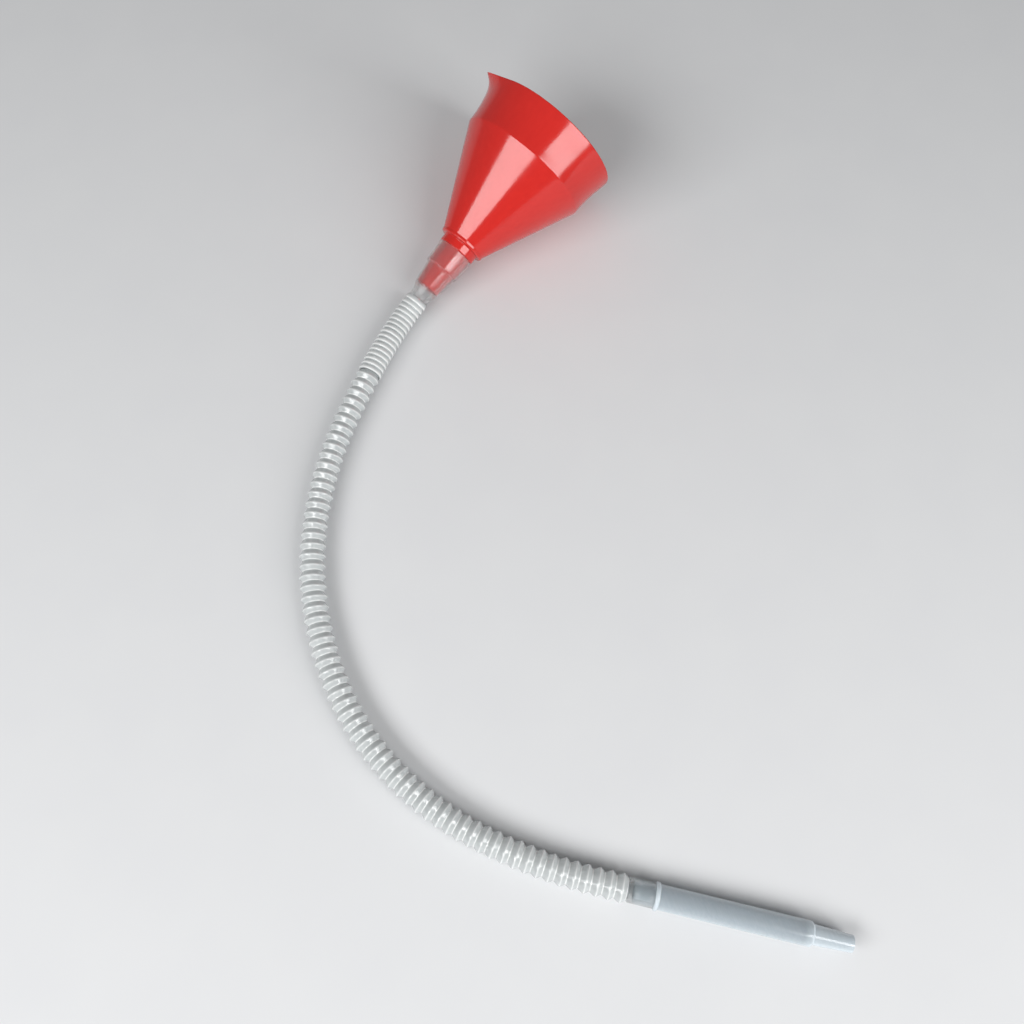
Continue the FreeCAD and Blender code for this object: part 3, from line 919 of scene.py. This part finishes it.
def weave(material, sides):
    """Plain weave. Each wire is a round section carried along a straight chord of the disc, lifted
    by a little over its radius times a cosine that swaps sign from one crossing to the next. The
    second set is the first given half a turn about the diagonal, which swaps its two directions
    and turns its heights over."""
    count = int(2 * GAUZE_RADIUS / GAUZE_PITCH)
    offsets = (np.arange(count) - (count - 1) / 2) * GAUZE_PITCH
    half = np.sqrt(GAUZE_RADIUS ** 2 - offsets ** 2)
    steps = GAUZE_STEPS * count
    share = np.linspace(-1, 1, steps)
    along = half[:, None] * share[None, :]
    parity = np.where(np.arange(count) % 2 == 0, 1.0, -1.0)[:, None]
    wave = parity * np.cos((along - offsets[0]) / GAUZE_PITCH * math.pi) * GAUZE_WIRE * GAUZE_LIFT
    swing = np.arange(sides) * FULL_TURN / sides
    across = offsets[:, None, None] + GAUZE_WIRE * np.cos(swing)
    height = LEDGE + GAUZE_LEVEL + wave[:, :, None] + GAUZE_WIRE * np.sin(swing)
    x = np.broadcast_to(along[:, :, None], height.shape)
    y = np.broadcast_to(across, height.shape)
    warp = np.stack([x, y, height], axis=-1)
    mirrored = 2 * (LEDGE + GAUZE_LEVEL) - height
    weft = np.stack([y, x, mirrored], axis=-1)
    rotation, origin = bowl_seat()
    points = np.concatenate([warp, weft]) * MM @ rotation.T + origin
    wires = len(points)
    index = np.arange(wires * steps * sides).reshape(wires, steps, sides)
    a = index[:, :-1]
    b = index[:, 1:]
    faces = np.stack([a, np.roll(a, -1, axis=2), np.roll(b, -1, axis=2), b], axis=-1)
    caps = np.concatenate([index[:, 0, ::-1], index[:, -1]])
    faces = faces.reshape(-1, 4).tolist() + caps.tolist()
    return smooth_object("gauze_weave", points.reshape(-1, 3), faces, material)


def softbox(name, aim, strength):
    """A rectangular light that faces a spot from a direction. Its width is level before it leans,
    and its power is its strength times its area."""
    *angles, width, height = SOFTBOXES[name]
    azimuth, elevation, lean = np.radians(angles)
    lamp = bpy.data.lights.new(name, "AREA")
    lamp.shape = "RECTANGLE"
    lamp.size = width
    lamp.size_y = height
    lamp.energy = strength * width * height
    holder = bpy.data.objects.new(name, lamp)
    facing = Matrix.Rotation(azimuth + math.pi / 2, 4, "Z")
    facing @= Matrix.Rotation(math.pi / 2 - elevation, 4, "X")
    away = np.array(facing.col[2][:3])
    holder.location = np.asarray(aim) + away * SOFTBOX_DISTANCE
    holder.rotation_euler = (facing @ Matrix.Rotation(lean, 4, "Z")).to_euler()
    bpy.context.scene.collection.objects.link(holder)


class FUNNEL_OT_stage(bpy.types.Operator):
    """Sets the camera, two soft boxes, an even light all round and a plain pale floor"""

    bl_idname = "funnel.stage"
    bl_label = "Stage"

    def execute(self, context):
        studio = context.scene.funnel_studio
        camera = bpy.data.cameras.new("camera")
        camera.lens = studio.lens
        holder = bpy.data.objects.new("camera", camera)
        level = math.cos(studio.dip)
        heading = studio.heading + math.pi / 2
        look = np.array([
            level * math.cos(heading), level * math.sin(heading), -math.sin(studio.dip),
        ])
        holder.location = np.array(VIEW_AIM) - look * studio.distance
        holder.rotation_euler = (math.pi / 2 - studio.dip, 0, studio.heading)
        context.scene.collection.objects.link(holder)
        context.scene.camera = holder
        bowl_middle = np.mean(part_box("funnel_bowl"), axis=0)
        for name in SOFTBOXES:
            softbox(name, bowl_middle, studio.softbox_strength)
        world = bpy.data.worlds.new("studio")
        world.use_nodes = True
        background = world.node_tree.nodes["Background"].inputs
        background["Strength"].default_value = studio.ambient
        background["Color"].default_value = linear("#FFFFFF")
        context.scene.world = world
        context.scene.view_settings.view_transform = "Standard"
        mesh = bpy.data.meshes.new("floor")
        corners = np.array([(-1, -1, 0), (1, -1, 0), (1, 1, 0), (-1, 1, 0)]) * FLOOR_HALF
        mesh.from_pydata(corners, [], [(0, 1, 2, 3)])
        mesh.materials.append(finish("matt painted board"))
        floor = bpy.data.objects.new("floor", mesh)
        context.scene.collection.objects.link(floor)
        return {"FINISHED"}


STEPS = (
    FUNNEL_OT_stage,
    FUNNEL_OT_nozzle,
    FUNNEL_OT_open_hose,
    FUNNEL_OT_closed_bellows,
    FUNNEL_OT_socket,
    FUNNEL_OT_bowl,
    FUNNEL_OT_strainer,
)
SETTINGS = {
    "funnel_finishes": FunnelFinishes,
    "funnel_sizes": FunnelSizes,
    "funnel_studio": FunnelStudio,
}


class FUNNEL_PT_panel(bpy.types.Panel):
    """Lists the steps that build the funnel, and their settings"""

    bl_label = "Bellows funnel"
    bl_idname = "FUNNEL_PT_panel"
    bl_space_type = "VIEW_3D"
    bl_region_type = "UI"
    bl_category = "Funnel"

    def draw(self, context):
        for step in STEPS:
            self.layout.operator(step.bl_idname)
        for key, group in SETTINGS.items():
            box = self.layout.box()
            for setting in group.__annotations__:
                box.prop(getattr(context.scene, key), setting)


def register():
    for made in (*SETTINGS.values(), *STEPS, FUNNEL_PT_panel):
        bpy.utils.register_class(made)
    for key, group in SETTINGS.items():
        setattr(bpy.types.Scene, key, PointerProperty(type=group))


def unregister():
    for key in SETTINGS:
        delattr(bpy.types.Scene, key)
    for made in reversed((*SETTINGS.values(), *STEPS, FUNNEL_PT_panel)):
        bpy.utils.unregister_class(made)


def main():
    """Builds everything."""
    register()
    for step in STEPS:
        group, name = step.bl_idname.split(".")
        getattr(getattr(bpy.ops, group), name)()


if __name__ == "__main__":
    main()
